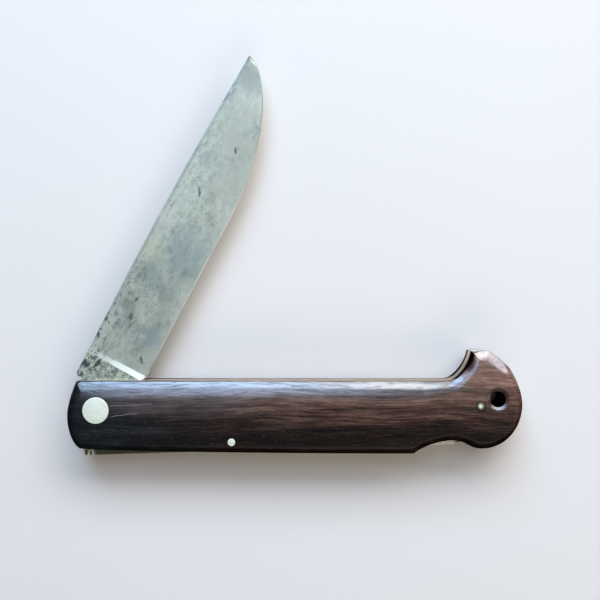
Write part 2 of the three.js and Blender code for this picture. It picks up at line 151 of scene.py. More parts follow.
class Wire:
    """An output socket of a material. Arithmetic on it adds Math nodes."""

    def __init__(self, tree, socket=None):
        self.tree = tree
        self.socket = socket

    def node(self, kind, settings=None, inputs=None, output=0):
        """Adds a node: its settings first, then the values and links of its sockets."""
        new = self.tree.nodes.new(kind)
        for name, value in (settings or {}).items():
            if name == "stops":
                ramp = new.color_ramp
                while len(ramp.elements) < len(value):
                    ramp.elements.new(1)
                for element, (position, colour) in zip(ramp.elements, value):
                    element.position = position
                    element.color = (*colour, 1)
            else:
                setattr(new, name, value)
        for name, value in (inputs or {}).items():
            if isinstance(value, Wire):
                self.tree.links.new(value.socket, new.inputs[name])
            elif isinstance(value, tuple) and len(value) == 3 and new.inputs[name].type == "RGBA":
                new.inputs[name].default_value = (*value, 1)
            else:
                new.inputs[name].default_value = value
        return Wire(self.tree, new.outputs[output])

    def math(self, operation, *values):
        return self.node("ShaderNodeMath", {"operation": operation}, dict(enumerate(values)))

    def __add__(self, other):
        return self.math("ADD", self, other)

    def __radd__(self, other):
        return self.math("ADD", other, self)

    def __sub__(self, other):
        return self.math("SUBTRACT", self, other)

    def __rsub__(self, other):
        return self.math("SUBTRACT", other, self)

    def __mul__(self, other):
        return self.math("MULTIPLY", self, other)

    def __rmul__(self, other):
        return self.math("MULTIPLY", other, self)

    def absolute(self):
        return self.math("ABSOLUTE", self)

    def at_most(self, limit):
        return self.math("MINIMUM", self, limit)

    def step(self, low, high):
        """0 below one value, 1 above the other, and smooth between them."""
        return self.node("ShaderNodeMapRange", {"interpolation_type": "SMOOTHSTEP"},
                         {"Value": self, "From Min": low, "From Max": high})

    def axis(self, name):
        """One component of a vector."""
        return self.node("ShaderNodeSeparateXYZ", None, {0: self}, "XYZ".index(name))

    def placed(self, origin=(0, 0, 0), turn=0.0, size=(1, 1, 1)):
        """A vector read from an origin, turned by an angle and measured in sizes."""
        return self.node("ShaderNodeMapping", {"vector_type": "TEXTURE"},
                         {"Vector": self, "Location": origin, "Rotation": (0, 0, turn), "Scale": size})

    def noise(self, scale, detail=3.0, roughness=0.5):
        return self.node("ShaderNodeTexNoise", None, {"Vector": self, "Scale": scale,
                                                      "Detail": detail, "Roughness": roughness})

    def length(self):
        return self.node("ShaderNodeVectorMath", {"operation": "LENGTH"}, {0: self}, 1)

    def mix(self, first, second):
        """A colour between two, by this value."""
        return self.node("ShaderNodeMix", {"data_type": "RGBA"}, {0: self, 6: first, 7: second}, 2)

    def ramp(self, *stops):
        return self.node("ShaderNodeValToRGB", {"stops": stops}, {0: self})

    def bump(self, strength, distance):
        return self.node("ShaderNodeBump", None,
                         {"Strength": strength, "Distance": distance, "Height": self})

    def spot(self, x, y, radius, edge):
        """1 within a radius of a place and 0 past its edge, in the vector's own measure."""
        flat = self.node("ShaderNodeVectorMath", {"operation": "MULTIPLY"}, {0: self, 1: (1, 1, 0)})
        away = flat.node("ShaderNodeVectorMath", {"operation": "SUBTRACT"}, {0: flat, 1: (x, y, 0)})
        return 1 - away.length().step(radius, radius + edge)


def new_material(name):
    """A material, its shader, and the object's coordinates in millimetres from the pivot."""
    material = bpy.data.materials.new(name)
    material.use_nodes = True
    tree = material.node_tree
    shader = tree.nodes["Principled BSDF"]
    coordinates = Wire(tree).node("ShaderNodeTexCoord", None, None, 3)
    return material, shader, coordinates.placed((PIVOT.x, PIVOT.y, 0), 0, (MM, MM, MM))


def feed(shader, **values):
    """Links wires to a shader's sockets and sets plain values on them."""
    for name, value in values.items():
        socket = shader.inputs[name.replace("_", " ")]
        if isinstance(value, Wire):
            value.tree.links.new(value.socket, socket)
        else:
            socket.default_value = value


def tint(code):
    """The linear colour of a hexadecimal one."""
    channels = [int(code[i:i + 2], 16) / 255 for i in (0, 2, 4)]
    return tuple(c / 12.92 if c <= 0.04045 else ((c + 0.055) / 1.055) ** 2.4 for c in channels)


REAR_FACE, REAR_SEAT = levels("rear_scale")
FRONT_SEAT, FRONT_FACE = levels("front_scale")
MIDDLE_LEVEL = (REAR_FACE + FRONT_FACE) / 2
BUTT_PIN = (101.57, 1.15)
LOCK_PIN = (35.8, -8.35)
LANYARD = (106.15, 2.95)
LANYARD_RADIUS = 2.1
LANYARD_RIM = 0.8
LANYARD_FALL = 0.38
FLARE_STEPS = 8
PIVOT_HOLE = 1.9
PIN_HOLE = 1.12
PIN_HOLES = ((0, 0, PIVOT_HOLE), (*BUTT_PIN, PIN_HOLE), (*LOCK_PIN, PIN_HOLE))
ROSETTE_SEAT = 3.6
ROSETTE_THICKNESS = 1.4
BEAK_THROAT = (99.4, 11.0)
GRAIN_SHIFT = -2.1


def scratch(place, x0, y0, x1, y1, width=0.16):
    """A thin broken line between two places, in millimetres."""
    run = math.hypot(x1 - x0, y1 - y0)
    along = place.placed((x0, y0, 0), math.atan2(y1 - y0, x1 - x0))
    wander = along.placed(size=(3, 3, 3)).noise(1.0, 1.0) - 0.5
    offset = (along.axis("Y") + wander * 0.6).absolute()
    broken = along.placed(size=(1.1, 0.4, 1)).noise(1.0, 2.0).step(0.3, 0.5)
    ends = along.axis("X").step(-0.5, 0.5) * (1 - along.axis("X").step(run - 0.5, run + 0.5))
    return (1 - offset.step(width * 0.4, width)) * broken * ends


def rosewood_finish():
    """Rosewood that is nearly black at the pivot, and warm and rubbed towards the beak."""
    material, shader, place = new_material("rosewood")
    facing = place.node("ShaderNodeTexCoord", None, None, 1)
    along, across = place.axis("X"), place.axis("Y")

    # Grain along the handle, swaying a little
    sway = place.placed(size=(34, 10, 12)).noise(1.0, 2.0)
    ripple = place.placed(size=(6, 2.2, 3)).noise(1.0, 2.0)
    wavy = place.node("ShaderNodeCombineXYZ", None, {
        0: along,
        1: across + (sway - 0.5) * 4 + (ripple - 0.5) * 0.55 + GRAIN_SHIFT,
        2: place.axis("Z"),
    })
    bands = wavy.placed(size=(60, 2.4, 5)).noise(1.0, 4.0, 0.6)
    streaks = wavy.placed(size=(9, 0.58, 1.4)).noise(1.0, 5.0, 0.7)
    fibres = wavy.placed(size=(2.6, 0.1, 0.3)).noise(1.0, 3.0, 0.65)
    pores = wavy.placed(size=(2.4, 0.14, 0.3)).noise(1.0, 1.0, 0.5).step(0.6, 0.7)
    flecks = wavy.placed(size=(1.5, 0.22, 0.4)).noise(1.0, 2.0, 0.5).step(0.62, 0.74)
    patches = wavy.placed(size=(14, 2.2, 4)).noise(1.0, 5.0, 0.7)
    figure = bands * 0.3 + patches * 0.22 + streaks * 0.33 + fibres * 0.15

    # Browns, from the pivot's end to the beak; the near-black at the pivot's end is tinted bluish as a
    # painted reflection of the sky
    sky_cast_black = figure.ramp((0.4, tint("080a0b")), (0.5, tint("14171a")), (0.6, tint("2b2e31")))
    brown = figure.ramp((0.4, tint("080605")), (0.5, tint("100c0a")), (0.6, tint("241b17")))
    painted_sheen_grey = figure.ramp((0.4, tint("2a2627")), (0.5, tint("514746")), (0.6, tint("71625d")))
    warm = figure.ramp((0.41, tint("120a08")), (0.465, tint("35201a")), (0.52, tint("56392f")),
                       (0.59, tint("80604f")))
    worn_beak = figure.ramp((0.4, tint("4a3026")), (0.48, tint("7d5646")), (0.58, tint("a37c68")))
    drift = (place.placed(size=(26, 5, 20)).noise(1.0, 3.0) - 0.5) * 60
    dark = (along + drift * 0.5).step(0, 44).mix(sky_cast_black, brown)
    # A painted grey sheen over the face above its middle line, from a little past the pivot; the warm
    # wood covers it further on
    painted_sheen_zone = (across + (sway - 0.5) * 3).step(-3.0, 1.5) * along.step(-2, 12)
    dark = (painted_sheen_zone * 0.75).mix(dark, painted_sheen_grey)
    ageing = (along + drift).step(2, 78)
    # The warm colour keeps above the back edge; towards the back edge the wood stays darker
    above_back_edge = (across + (sway - 0.5) * 4 + (streaks - 0.5) * 3).step(-5.8, -0.6)
    colour = (ageing * (above_back_edge * 0.88 + 0.12)).mix(dark, warm)
    lightened = (along + drift * 0.15).step(90, 100) * (across + (streaks - 0.5) * 8).step(1.5, 9)
    colour = (lightened * 0.85).mix(colour, worn_beak)
    colour = (flecks * 0.2).mix(colour, tint("8a7368"))

    # Dirt round the pins, painted shade in the lanyard hole and the beak's throat, open pores and two
    # scratches
    grime_and_shade = (place.spot(*BUTT_PIN, 1.0, 0.9) * 0.7 + place.spot(*LOCK_PIN, 1.0, 0.8) * 0.7
             + place.spot(*LANYARD, 2.5, 1.2) * 0.5 + place.spot(*BEAK_THROAT, 0.3, 2.3) * 0.7)
    colour = grime_and_shade.mix(colour, tint("12100a"))
    colour = (pores * 0.65).mix(colour, tint("0a0706"))
    scratches = scratch(place, 3.2, 1.15, 14.9, 1.75) + scratch(place, 3.4, -1.7, 11.2, -0.6)
    colour = (scratches * 0.55).mix(colour, tint("918684"))

    # Steep walls darkened as painted shade, the beak's throat most of all, but for the bare sawn wood
    # beside the slot, which gives way to the painted shade towards the pivot's end
    flat = facing.axis("Z").absolute()
    throat = (0 - facing.axis("X")).step(0.36, 0.62) * across.step(7.8, 9.2)
    from_middle = (place.axis("Z") - MIDDLE_LEVEL).absolute()
    sawn = facing.axis("Y").step(0.7, 0.95) * (along + (streaks - 0.5) * 30).step(4, 40)
    sawn = sawn * across.step(5.6, 6.6) * from_middle.step(3.0, 4.0)
    shade = ((1 - flat.step(0.3, 0.7)) * (1 - sawn) * 0.9 + throat).at_most(1.0)
    bare_and_highlight = streaks.ramp((0.4, tint("7d6550")), (0.6, tint("b59c7e")))
    # At the beak's top the sawn wood is lightened as a painted highlight
    bare_and_highlight = along.step(96, 100).mix(bare_and_highlight, tint("d6c8b0"))
    colour = (sawn * (1 - throat)).mix(colour, bare_and_highlight)
    colour = shade.mix(colour, tint("080605"))

    # Hand polish on the face, less of it towards the back edge and at both ends
    gloss = place.placed(size=(7, 2, 4)).noise(1.0, 4.0, 0.6)
    polish = (along + (gloss - 0.5) * 40).step(0, 84) * 0.1 + 0.9
    polish = polish * (across + (streaks - 0.5) * 3).step(-4.5, 3.5) * along.step(-6.5, -3.0)
    polish = polish * (1 - along.step(108, 112) * (1 - across.step(4, 9)))
    polish = polish * (1 - (0 - facing.axis("Y")).step(0.1, 0.25))
    broken = streaks.step(0.34, 0.56) * 0.6 + 0.4 + along.step(93, 98) * 0.6
    coat = polish * (1 - pores * 0.6) * broken.at_most(1.0)
    relief = fibres * 0.35 + streaks * 0.5 - pores * 0.6 - scratches * 0.4
    feed(shader, Base_Color=colour, Roughness=0.26 + gloss * 0.2 + pores * 0.2, Coat_Weight=coat,
         Coat_Roughness=0.2, Coat_IOR=2.0, Specular_IOR_Level=0.25,
         Normal=relief.bump(0.3, 0.07 * MM))

    # Steep walls stay matt
    walls = place.node("ShaderNodeBsdfPrincipled", None,
                       {"Base Color": colour, "Roughness": 1.0, "Specular IOR Level": 0.0})
    slotward = facing.axis("Y").step(0.15, 0.45)
    steep = (1 - flat.step(0.82, 1.0)) * (1 - slotward) + (1 - flat.step(0.3, 0.5)) * slotward
    steep = (steep + throat).at_most(1.0)
    face = Wire(place.tree, shader.outputs[0])
    mixed = place.node("ShaderNodeMixShader", None, {0: steep, 1: face, 2: walls})
    place.tree.links.new(mixed.socket, place.tree.nodes["Material Output"].inputs["Surface"])
    return material


EDGE_ROUND = 2.6
EDGE_STEPS = 10
CROWN_RADIUS = 110
CROWN_LINE = -2.1
CROWN_END = 4.0
WORN_WIDTH = 7.0
WORN_AT_HIP = 4.2
WORN_POWER = 2.6
WORN_SLOPE = 0.19
WORN_SLOPE_AT_HIP = 0.27
WORN_CORNER = 0.03
SLOPE_GROWS = (64.0, 80.0)
HIP = (82.0, 95.0)
BEAK_RISE = (9.0, 14.0)
RIM_SPACING = 0.25
RIM_REACH = 3.0
RIM_FADE = 0.9
SLOT_SIDE = 0.75
CUTS_ALONG = [-4.7, -4.0, 4.0, 20.0] + [86.25 + 0.72 * step for step in range(37)]
CUTS_ACROSS = [-10.35 + 1.27 * step for step in range(10)] + [2.1 + 0.45 * step for step in range(30)]


def crown_drop(y):
    """How far the polished face falls below its highest line: round, then straight on the beak."""
    bent = min(y, CROWN_END) - CROWN_LINE
    straight = max(0.0, y - CROWN_END) * (CROWN_END - CROWN_LINE)
    return bent ** 2 / (2 * CROWN_RADIUS) + straight / CROWN_RADIUS


def smooth_share(value, low, high):
    """0 below one value, 1 above the other, and smooth between them."""
    share = min(max((value - low) / (high - low), 0.0), 1.0)
    return share * share * (3 - 2 * share)


def quarter_round(inward, radius):
    """Fall of a quarter round at a distance from the rim."""
    return radius - math.sqrt(radius ** 2 - max(0.0, radius - inward) ** 2)


def rim_samples(outline):
    """Places close together along the outline, each with the direction that points outwards."""
    samples = []
    for start, end in zip(outline, outline[1:] + outline[:1]):
        run = end - start
        outward = Vector((run.y, -run.x)).normalized()
        count = max(1, round(run.length / RIM_SPACING))
        samples += [(start.lerp(end, (step + 0.5) / count), outward) for step in range(count)]
    return samples


def face_level(samples, finder, thickness, x, y, level):
    """Level of a place on the drilled face after rounding, crowning and wear."""
    _, index, away = finder.find((x, y, 0))
    place, outward = samples[index]
    inward = max(0.0, (place - Vector((x, y))).dot(outward))
    total = weight = 0.0
    for _, other, distance in finder.find_range((x, y, 0), away + RIM_REACH):
        share = math.exp((away - distance) / RIM_FADE)
        total += share * smooth_share(samples[other][1].y, 0.0, SLOT_SIDE)
        weight += share
    worn_share = total / weight
    below_beak = 1 - smooth_share(y, *BEAK_RISE)
    near_hip = smooth_share(x, *HIP) * below_beak
    steeper = smooth_share(x, *SLOPE_GROWS) * below_beak
    width = WORN_WIDTH + (WORN_AT_HIP - WORN_WIDTH) * near_hip
    slope = WORN_SLOPE + (WORN_SLOPE_AT_HIP - WORN_SLOPE) * steeper
    worn = slope * width * max(0.0, 1 - inward / width) ** WORN_POWER
    worn += quarter_round(inward, WORN_CORNER)
    if inward < EDGE_ROUND:
        rounding = worn_share * worn + (1 - worn_share) * quarter_round(inward, EDGE_ROUND)
        return thickness - rounding - crown_drop(y)
    return level - worn_share * worn - crown_drop(y)


def wooden_scale(name, material, outer, inner):
    """A scale drilled for pins, rosette and lanyard, with a crowned, rounded and worn face."""
    thickness = abs(outer - inner)
    outline = handle_outline()
    mesh = outline_slab(outline, 0, thickness)
    rim = [e for e in mesh.edges if all(v.co.z > thickness / 2 for v in e.verts)]
    bmesh.ops.bevel(mesh, geom=rim, affect="EDGES", offset=EDGE_ROUND, segments=EDGE_STEPS,
                    profile=0.5, material=-1, clamp_overlap=False)
    cuts = [((x, 0, 0), (1, 0, 0)) for x in CUTS_ALONG]
    cuts += [((0, y, 0), (0, 1, 0)) for y in CUTS_ACROSS]
    for place, direction in cuts:
        bmesh.ops.bisect_plane(mesh, geom=mesh.verts[:] + mesh.edges[:] + mesh.faces[:], dist=1e-4,
                               plane_co=place, plane_no=direction)
    bmesh.ops.remove_doubles(mesh, verts=mesh.verts, dist=2e-4)
    scale = piece_from(mesh, name, material)
    cutters = [rod(*hole, -1, thickness + 1) for hole in PIN_HOLES]
    cutters.append(rod(0, 0, ROSETTE_SEAT, thickness - ROSETTE_THICKNESS, thickness + 1))
    cutters.append(flared_bore(thickness))
    drilled(scale, cutters)
    samples = rim_samples(outline)
    finder = KDTree(len(samples))
    for index, (place, _) in enumerate(samples):
        finder.insert((place.x, place.y, 0), index)
    finder.balance()
    for vert in scale.data.vertices:
        level = vert.co.z
        if level > thickness - EDGE_ROUND - 0.01:
            level = face_level(samples, finder, thickness, *vert.co)
        vert.co.z = inner + (level if outer > inner else -level)
    if outer < inner:
        scale.data.flip_normals()
    return finished(scale, 38)


def flared_bore(face):
    """The lanyard hole of one scale, widening in a shallow worn flare at its outer face."""
    profile = [(0, -1), (LANYARD_RADIUS, -1)]
    for step in range(FLARE_STEPS + 1):
        share = step / FLARE_STEPS
        profile.append((LANYARD_RADIUS + LANYARD_RIM * share, face - LANYARD_FALL * (1 - share)))
    profile += [(LANYARD_RADIUS + LANYARD_RIM, face + 1), (0, face + 1)]
    mesh = bmesh.new()
    verts = [mesh.verts.new((LANYARD[0] + radius, LANYARD[1], level)) for radius, level in profile]
    edges = [mesh.edges.new(pair) for pair in zip(verts, verts[1:])]
    bmesh.ops.spin(mesh, geom=verts + edges, cent=(*LANYARD, 0), axis=(0, 0, 1), angle=math.tau,
                   steps=48, use_merge=True)
    bmesh.ops.remove_doubles(mesh, verts=mesh.verts, dist=1e-4)
    bmesh.ops.recalc_face_normals(mesh, faces=mesh.faces)
    return mesh


rosewood = rosewood_finish()
for node, outer, inner in (("rear_scale", REAR_FACE, REAR_SEAT), ("front_scale", FRONT_FACE, FRONT_SEAT)):
    scale = wooden_scale(node + "_wood", rosewood, outer, inner)
    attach(scale, "handle")
    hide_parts(node)

# Rear liner and front liner
# Thin brass sheets, cut to the scales' outline, that the blade and the lock bar turn between. Only
# their edges and what shows down the slot are bright; those turned towards the pivot's end get painted
# shade, the lanyard bore painted shade, and the beak's top edge a painted highlight.


def metal_finish(name, colour, stain, roughness, grain, pits, metallic=1.0,
                 grime_and_shade=(), lightened=(), pivotward_shade=0.0):
    """Aged metal: brushed, tarnished and pitted, darkened with painted shade in places and lit with
    painted highlights in others.

    Each darkened or highlighted place has its coordinates, a radius and a soft edge. A painted highlight
    goes on with its colour and how streaked it is. Faces turned towards the pivot's end get painted
    shade.
    """
    material, shader, place = new_material(name)
    facing = place.node("ShaderNodeTexCoord", None, None, 1)
    cloud = place.placed(size=(6, 4, 4)).noise(1.0, 4.0, 0.6).step(0.42, 0.68)
    brushed = place.placed(size=grain).noise(1.0, 2.0, 0.6)
    body = (cloud * 0.7).mix(tint(colour), tint(stain))
    body = (brushed.step(0.45, 0.75) * 0.25).mix(body, tint(stain))
    # Faces turned towards the pivot's end darkened as painted shade
    body = ((0 - facing.axis("X")).step(0.3, 0.6) * pivotward_shade).mix(body, tint("3f3e28"))
    bright = 0.0
    # Each of these spots is a painted highlight
    for x, y, radius, edge, shade, streaked in lightened:
        strokes = (brushed.step(0.46, 0.56) - 1) * streaked + 1
        highlight = place.spot(x, y, radius, edge) * strokes
        body = highlight.mix(body, tint(shade))
        bright = highlight + bright
    speck = place.noise(1.6, 2.0, 0.5).step(0.62, 0.7) * pits * (1 - bright)
    body = speck.mix(body, tint("1c1a16"))
    for x, y, radius, edge in grime_and_shade:
        body = place.spot(x, y, radius, edge).mix(body, tint("16130f"))
    relief = brushed * 0.6 - speck
    feed(shader, Base_Color=body, Metallic=(metallic - cloud * 0.3 - speck * 0.4) * (1 - bright * 0.7),
         Roughness=roughness + cloud * 0.15 + brushed * 0.1, Normal=relief.bump(0.1, 0.03 * MM))
    return material


# Painted shade down the lanyard bore
LANYARD_SHADE = (*LANYARD, LANYARD_RADIUS + 0.1, 0.3)
# A painted highlight on the beak's top edge
BEAK_HIGHLIGHT = (101.8, 17.2, 2.0, 0.8, "fffdf0", 0.0)
# The liners get painted shade towards the pivot's end and in the lanyard bore, and a painted highlight on
# the beak's top edge
brass = metal_finish("liner_brass", "f4e0cc", "bfac8e", 0.34, (3, 0.12, 0.12), 0.4, 0.85,
                     grime_and_shade=(LANYARD_SHADE,), lightened=(BEAK_HIGHLIGHT,), pivotward_shade=0.9)
for node in ("rear_liner", "front_liner"):
    bottom, top = levels(node)
    liner = piece_from(outline_slab(handle_outline(), bottom, top), node + "_sheet", brass)
    holes = (*PIN_HOLES, (*LANYARD, LANYARD_RADIUS))
    finished(drilled(liner, [rod(*hole, bottom - 1, top + 1) for hole in holes]), 30)
    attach(liner, "handle")
    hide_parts(node)

# Butt spacer
# A steel block between the liners that closes the butt and the beak, and holds the spring's root
# in a sawn slot. Its front wall leaves room for the point of the closed blade.

SPACER_FRONT = 98.4
SPACER_NOSE = 95.7
SPRING_SEAT = 4.3
SLOT_TOP = -2.7
SLOT_BOTTOM = -4.3
NOSE_TOP = 1.0
NOSE_BOTTOM = -5.3
BEAK_WALL = 104.1
# The spacer gets painted shade towards the pivot's end and in the lanyard bore, and a painted highlight
# on the beak's top edge
spacer_steel = metal_finish("spacer_steel", "8e8d82", "4f4d44", 0.38, (0.14, 3, 0.14), 0.6,
                            grime_and_shade=(LANYARD_SHADE,), lightened=(BEAK_HIGHLIGHT,), pivotward_shade=0.6)
bottom, top = levels("butt_spacer")
spacer = piece_from(outline_slab(handle_outline(), bottom, top), "butt_spacer_block", spacer_steel)
room = [Vector(point) for point in (
    (-20, -20), (SPACER_FRONT, -20), (SPACER_FRONT, NOSE_BOTTOM), (SPACER_NOSE, NOSE_BOTTOM),
    (SPACER_NOSE, SLOT_BOTTOM), (SPACER_NOSE + SPRING_SEAT, SLOT_BOTTOM),
    (SPACER_NOSE + SPRING_SEAT, SLOT_TOP), (SPACER_NOSE, SLOT_TOP), (SPACER_NOSE, NOSE_TOP))]
bend(room, (BEAK_WALL, 1.5), (BEAK_WALL, 10.7))
room += [Vector((BEAK_WALL, 30)), Vector((-20, 30))]
cutters = [outline_slab(room, bottom - 1, top + 1), rod(*BUTT_PIN, PIN_HOLE, bottom - 1, top + 1),
           rod(*LANYARD, LANYARD_RADIUS, bottom - 1, top + 1)]
finished(drilled(spacer, cutters), 30)
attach(spacer, "handle")
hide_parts("butt_spacer")

# Leaf spring
# A tapered strip of tempered spring steel, held by its root in the spacer, that presses the rear
# arm of the lock bar outwards. It sits deep in the slot.

spring_steel = metal_finish("spring_steel", "70757a", "3b3d3f", 0.34, (4, 0.2, 0.2), 0.3)
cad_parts["lock_spring"].data.materials[0] = spring_steel

# Blade
# Forged carbon steel, ground flat from its bevelled spine to a thin whetted edge, with a plunge at
# the ricasso and a tang that turns on the pivot pin. It has gone grey-green, stained and pitted.

BLADE_ANGLE = math.radians(61.2)
BLADE_REACH = 102.9
SHOULDER = 4.8
SHOULDER_HEIGHT = 10.1
POINT_HEIGHT = 10.7
SPINE_BULGE = 0.85
HEEL_DEPTH = 6.8
EDGE_DEPTH = 6.1
RICASSO_DEPTH = 5.9
BELLY_LENGTH = 43.0
BELLY_POWER = 0.62
PLUNGE_START = 11.8
PLUNGE_LENGTH = 1.5
PLUNGE_STEPS = 8
PLUNGE_POWER = 1.12
GRIND_STEPS = 90
BLADE_HALF = 1.15
SPINE_CHAMFER = 0.9
CHAMFER_DEPTH = 0.35
EDGE_BEVEL = 0.36
BEHIND_EDGE = 0.25
EDGE_FLAT = 0.04
DISTAL_TAPER = 0.45
SHOULDER_ROUND = 0.9
CAM_RADIUS = 7.7
CAM_STEPS = 48
NOTCH_FLOOR = 6.4
NOTCH_BACK = 0.3


def spine_at(x):
    """Back of the blade: a shallow bow from the shoulder to the point."""
    along = (x - SHOULDER) / (BLADE_REACH - SHOULDER)
    straight = SHOULDER_HEIGHT + (POINT_HEIGHT - SHOULDER_HEIGHT) * along
    return straight + SPINE_BULGE * math.sin(math.pi * along)


def edge_at(x):
    """Underside of the blade: a rounded heel, a nearly straight edge and a rising belly."""
    belly_start = BLADE_REACH - BELLY_LENGTH
    if x > belly_start:
        along = min(1.0, (x - belly_start) / BELLY_LENGTH)
        return POINT_HEIGHT - (POINT_HEIGHT + EDGE_DEPTH) * (1 - along ** 2) ** BELLY_POWER
    heel_end = PLUNGE_START + PLUNGE_LENGTH
    if x > heel_end:
        along = (x - heel_end) / (belly_start - heel_end)
        return -HEEL_DEPTH + (HEEL_DEPTH - EDGE_DEPTH) * along
    along = max(0.0, (x - PLUNGE_START) / PLUNGE_LENGTH)
    return -RICASSO_DEPTH - (HEEL_DEPTH - RICASSO_DEPTH) * math.sin(along * math.pi / 2)


def half_section(x, ground):
    """Points down one side of the blade, from the spine to the edge, at a share of the grind."""
    spine, edge = spine_at(x), edge_at(x)
    along = max(0.0, (x - PLUNGE_START) / (BLADE_REACH - PLUNGE_START))
    half = BLADE_HALF * (1 - DISTAL_TAPER * along ** 2)
    narrow = min(1.0, (spine - edge) / (2.5 * (SPINE_CHAMFER + EDGE_BEVEL)))
    flank = half + (BEHIND_EDGE * narrow - half) * ground
    crest = half - CHAMFER_DEPTH * ground
    lip = half + (EDGE_FLAT / 2 - half) * ground
    top, bottom = spine - SPINE_CHAMFER * narrow, edge + EDGE_BEVEL * narrow
    side = [(x, spine, crest), (x, top, half)]
    for share in (0.25, 0.5, 0.75):
        side.append((x, top + (bottom - top) * share, half + (flank - half) * share))
    side += [(x, bottom, flank), (x, edge, lip)]
    return side


def ground_blade():
    """Skins the ground part of the blade by extruding its section from the tang to the point."""
    stations = [(PLUNGE_START - 0.5, 0.0)]
    for step in range(PLUNGE_STEPS + 1):
        share = step / PLUNGE_STEPS
        stations.append((PLUNGE_START + PLUNGE_LENGTH * share, 1 - (1 - share) ** PLUNGE_POWER))
    first = PLUNGE_START + 2 * PLUNGE_LENGTH
    for step in range(GRIND_STEPS):
        along = math.sin(step / GRIND_STEPS * math.pi / 2)
        stations.append((first + (BLADE_REACH - first) * along, 1.0))
    mesh = bmesh.new()
    loop = []
    for station in stations:
        side = half_section(*station)
        ring = side + [(x, y, -z) for x, y, z in reversed(side)]
        if not loop:
            loop = [mesh.verts.new(point) for point in ring]
            mesh.faces.new(reversed(loop))
            continue
        edges = [mesh.edges.get((a, b)) for a, b in zip(loop, loop[1:] + loop[:1])]
        grown = bmesh.ops.extrude_edge_only(mesh, edges=edges)["geom"]
        fresh = {v for v in grown if isinstance(v, bmesh.types.BMVert)}
        loop = [next(e.other_vert(v) for e in v.link_edges if e.other_vert(v) in fresh) for v in loop]
        for vert, point in zip(loop, ring):
            vert.co = point
    tip = mesh.verts.new((BLADE_REACH, POINT_HEIGHT, 0))
    for a, b in zip(loop, loop[1:] + loop[:1]):
        mesh.faces.new((a, b, tip))
    bmesh.ops.recalc_face_normals(mesh, faces=mesh.faces)
    return mesh


def tang():
    """The square tang: lock shoulder, notch for the lock bar's tooth, and the round it rides on."""
    round_end = SHOULDER + SHOULDER_ROUND
    path = [Vector((PLUNGE_START, edge_at(PLUNGE_START)))]
    for share in (1, 0.75, 0.5, 0.25, 0):
        x = round_end + (PLUNGE_START - round_end) * share
        path.append(Vector((x, spine_at(x))))
    bend(path, (SHOULDER, SHOULDER_HEIGHT), (SHOULDER, SHOULDER_HEIGHT - SHOULDER_ROUND))
    path += [Vector((SHOULDER, NOTCH_FLOOR)), Vector((NOTCH_BACK, NOTCH_FLOOR))]
    for step in range(CAM_STEPS + 1):
        angle = math.radians(90 + 180 * step / CAM_STEPS) if step else math.acos(NOTCH_BACK / CAM_RADIUS)
        path.append(Vector((CAM_RADIUS * math.cos(angle), CAM_RADIUS * math.sin(angle))))
    bend(path, (SHOULDER, -CAM_RADIUS), (PLUNGE_START - 2.3, -5.4))
    return outline_slab(path, -BLADE_HALF, BLADE_HALF)


# Each stain and dark mark starts with its place along the blade and across it. A stain goes on with
# its radius, soft edge, colour and strength, and a mark with its turn, length and width.
STAINS = (
    (44.5, 6.6, 1.0, 5.0, "dcdcb8", 0.55),
    (38.5, 6.4, 1.0, 4.5, "97a49a", 0.6),
    (35.5, 4.5, 0.5, 3.5, "a3b0a8", 0.45),
    (35.5, 1.0, 0.5, 5.0, "84918b", 0.55),
    (24.0, -1.0, 0.5, 4.5, "8a9a94", 0.5),
    (28.5, 7.5, 0.5, 4.0, "6d7870", 0.5),
    (47.0, 0.0, 2.0, 9.0, "9bacab", 0.55),
    (22.3, -2.6, 0.5, 4.5, "9cb0ae", 0.6),
    (25.5, 5.6, 0.5, 3.5, "9daca2", 0.6),
    (84.0, 1.0, 5.0, 9.0, "b0b3a2", 0.65),
    (70.0, -1.0, 3.0, 7.0, "b4b8a8", 0.5),
    (98.0, 8.6, 2.5, 5.5, "929a94", 0.75),
    (91.0, 9.8, 0.3, 1.8, "84938f", 0.7),
    (86.0, -0.6, 0.2, 1.5, "84938d", 0.7),
    (73.0, 8.6, 0.3, 2.2, "9aaaa5", 0.5),
)
DARK_MARKS = (
    (64.0, 4.7, 27, 3.0, 0.75),
    (78.6, 1.6, 32, 2.4, 0.8),
    (30.5, 5.6, -20, 2.0, 1.2),
    (16.6, -3.5, 48, 2.6, 0.8),
    (25.6, 4.6, 10, 2.4, 1.4),
)


